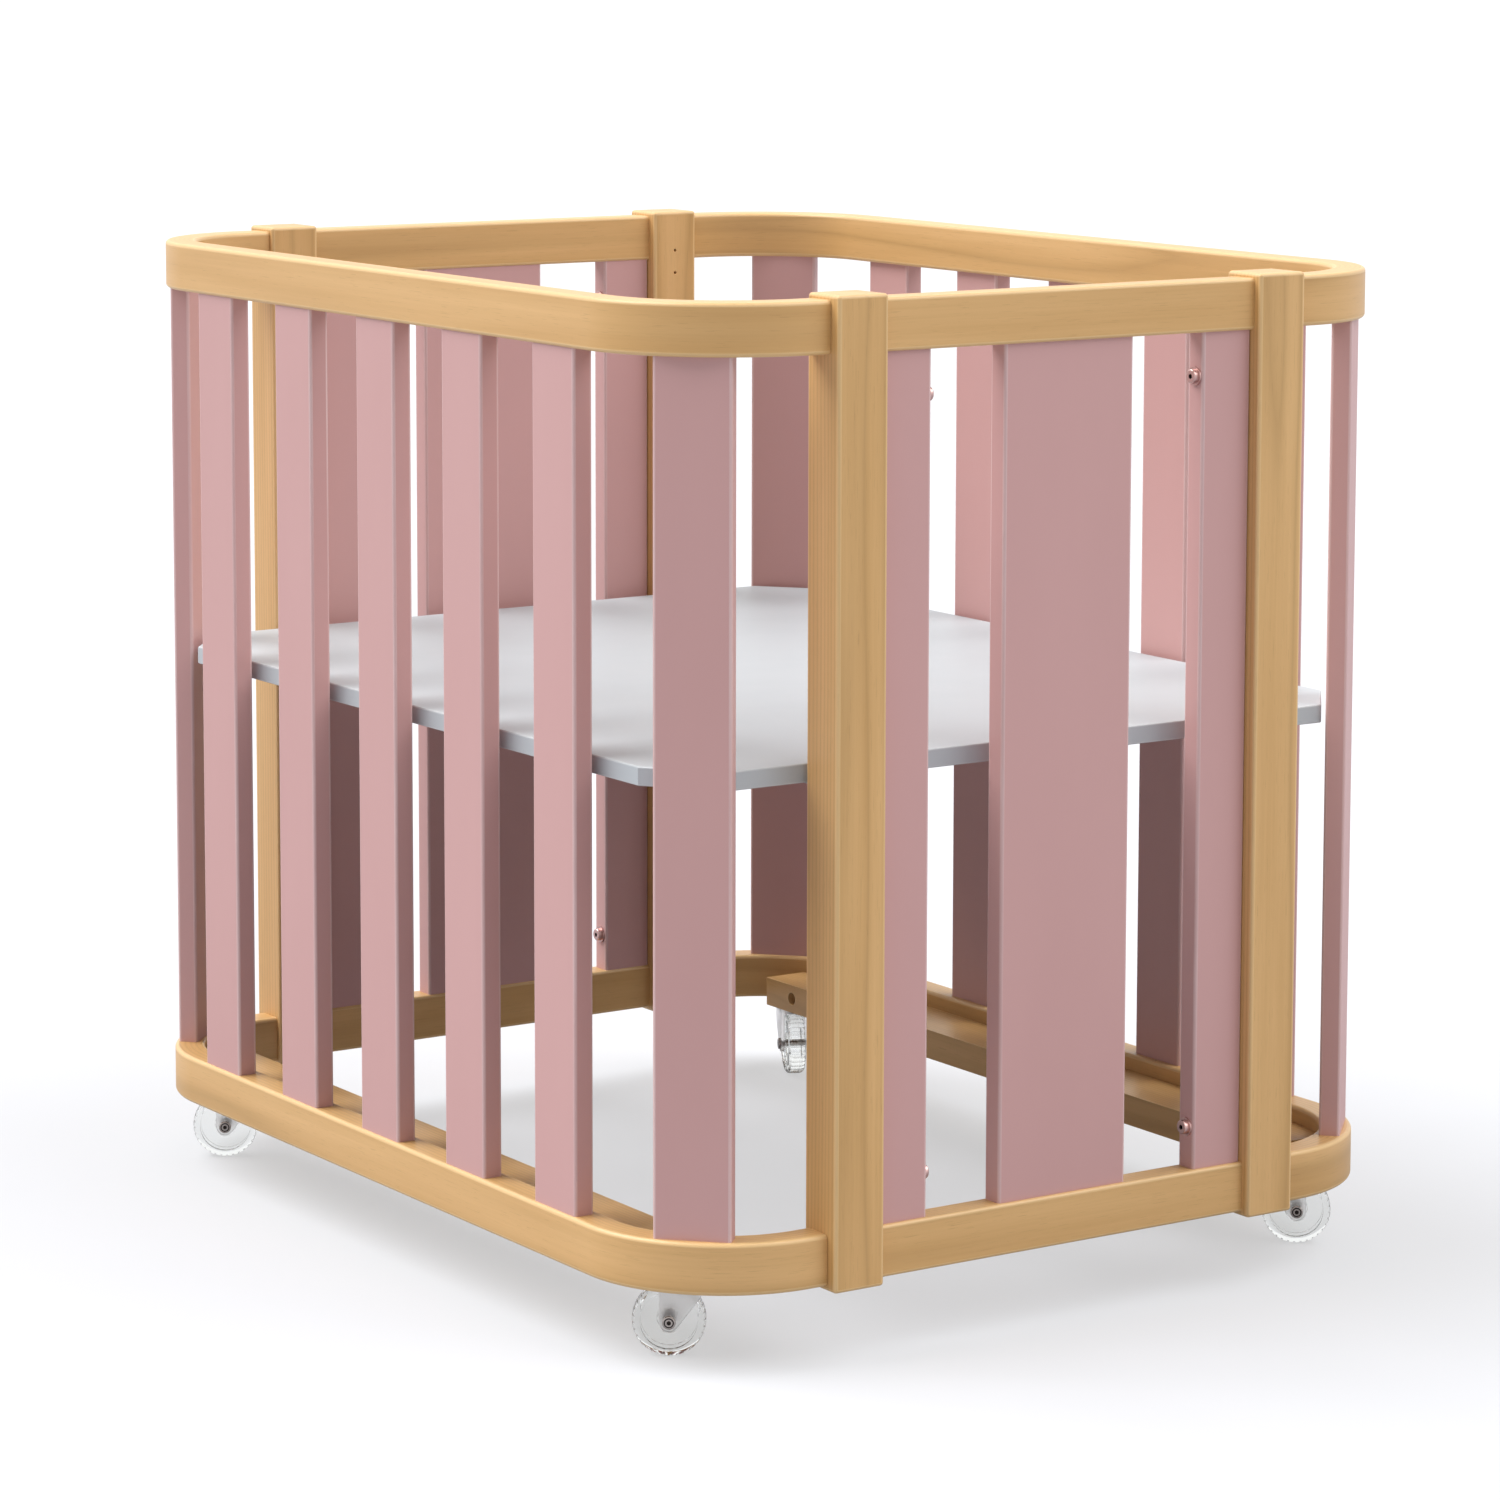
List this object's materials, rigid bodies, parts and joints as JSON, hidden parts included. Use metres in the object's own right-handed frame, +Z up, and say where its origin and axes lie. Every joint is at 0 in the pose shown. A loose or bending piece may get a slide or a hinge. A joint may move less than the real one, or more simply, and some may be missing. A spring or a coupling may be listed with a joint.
{
  "type": "wooden playpen",
  "caption": "Wooden baby playpen with rounded slatted ends, straight side panels between posts, a mid-height mattress board and clear swivel casters.",
  "frame": {"origin": "on the floor, under the middle of the playpen", "axes": "+X runs along the side panels, +Y along the straight side of the rounded ends, +Z up from the floor"},
  "size_m": [0.76, 0.976, 0.862],
  "materials": {
    "natural_wood": "clear satin lacquer over pale pine",
    "pink_paint": "satin dusty pink paint over wood board",
    "white_board": "matt white laminate",
    "dowel_wood": "bare beech",
    "zinc_steel": "zinc plated",
    "bolt_metal": "satin plated",
    "clear_plastic": "clear gloss"
  },
  "bodies": {
    "frame": {"board_brackets": "zinc_steel", "board_screws": "zinc_steel", "bracket_screws": "zinc_steel", "caster_front_left_mount": "zinc_steel", "caster_front_right_mount": "zinc_steel", "caster_rail_screws": "zinc_steel", "caster_rear_left_mount": "zinc_steel", "caster_rear_right_mount": "zinc_steel", "front_panel_bottom_rail": "natural_wood", "front_panel_centre_slat": "pink_paint", "front_panel_stile_left": "pink_paint", "front_panel_stile_right": "pink_paint", "front_panel_top_rail": "natural_wood", "left_caster_rail": "natural_wood", "left_end_bottom_rail": "natural_wood", "left_end_slat_1": "pink_paint", "left_end_slat_2": "pink_paint", "left_end_slat_3": "pink_paint", "left_end_slat_4": "pink_paint", "left_end_slat_5": "pink_paint", "left_end_slat_6": "pink_paint", "left_end_slat_7": "pink_paint", "left_end_top_rail": "natural_wood", "mattress_board": "white_board", "panel_bolts": "bolt_metal", "panel_washers": "bolt_metal", "post_front_left": "natural_wood", "post_front_right": "natural_wood", "post_rear_left": "natural_wood", "post_rear_right": "natural_wood", "rail_dowels": "dowel_wood", "rear_panel_bottom_rail": "natural_wood", "rear_panel_centre_slat": "pink_paint", "rear_panel_stile_left": "pink_paint", "rear_panel_stile_right": "pink_paint", "rear_panel_top_rail": "natural_wood", "right_caster_rail": "natural_wood", "right_end_bottom_rail": "natural_wood", "right_end_slat_1": "pink_paint", "right_end_slat_2": "pink_paint", "right_end_slat_3": "pink_paint", "right_end_slat_4": "pink_paint", "right_end_slat_5": "pink_paint", "right_end_slat_6": "pink_paint", "right_end_slat_7": "pink_paint", "right_end_top_rail": "natural_wood", "threaded_inserts": "zinc_steel"},
    "caster_front_left_swivel": {"caster_front_left_fork": "clear_plastic", "caster_front_left_axle": "zinc_steel"},
    "caster_front_left_roller": {"caster_front_left_wheel": "clear_plastic"},
    "caster_rear_left_swivel": {"caster_rear_left_fork": "clear_plastic", "caster_rear_left_axle": "zinc_steel"},
    "caster_rear_left_roller": {"caster_rear_left_wheel": "clear_plastic"},
    "caster_front_right_swivel": {"caster_front_right_fork": "clear_plastic", "caster_front_right_axle": "zinc_steel"},
    "caster_front_right_roller": {"caster_front_right_wheel": "clear_plastic"},
    "caster_rear_right_swivel": {"caster_rear_right_fork": "clear_plastic", "caster_rear_right_axle": "zinc_steel"},
    "caster_rear_right_roller": {"caster_rear_right_wheel": "clear_plastic"}
  },
  "joints": [
    {"name": "caster_front_left_turn", "type": "hinge", "parent": "frame", "child": "caster_front_left_swivel", "pos_m": [-0.312, -0.384, 0.0636], "axis": [0, 0, 1], "continuous": true},
    {"name": "caster_front_left_roll", "type": "hinge", "parent": "caster_front_left_swivel", "child": "caster_front_left_roller", "pos_m": [-0.32195, -0.37729, 0.03], "axis": [0.5592, 0.829, 0], "continuous": true},
    {"name": "caster_rear_left_turn", "type": "hinge", "parent": "frame", "child": "caster_rear_left_swivel", "pos_m": [-0.312, 0.384, 0.0636], "axis": [0, 0, 1], "continuous": true},
    {"name": "caster_rear_left_roll", "type": "hinge", "parent": "caster_rear_left_swivel", "child": "caster_rear_left_roller", "pos_m": [-0.32229, 0.39018, 0.03], "axis": [0.515, 0.8572, 0], "continuous": true},
    {"name": "caster_front_right_turn", "type": "hinge", "parent": "frame", "child": "caster_front_right_swivel", "pos_m": [0.312, -0.384, 0.0636], "axis": [0, 0, 1], "continuous": true},
    {"name": "caster_front_right_roll", "type": "hinge", "parent": "caster_front_right_swivel", "child": "caster_front_right_roller", "pos_m": [0.32158, -0.39122, 0.03], "axis": [-0.6018, -0.7986, 0], "continuous": true},
    {"name": "caster_rear_right_turn", "type": "hinge", "parent": "frame", "child": "caster_rear_right_swivel", "pos_m": [0.312, 0.384, 0.0636], "axis": [0, 0, 1], "continuous": true},
    {"name": "caster_rear_right_roll", "type": "hinge", "parent": "caster_rear_right_swivel", "child": "caster_rear_right_roller", "pos_m": [0.30693, 0.37312, 0.03], "axis": [-0.9063, 0.4226, 0], "continuous": true}
  ]
}
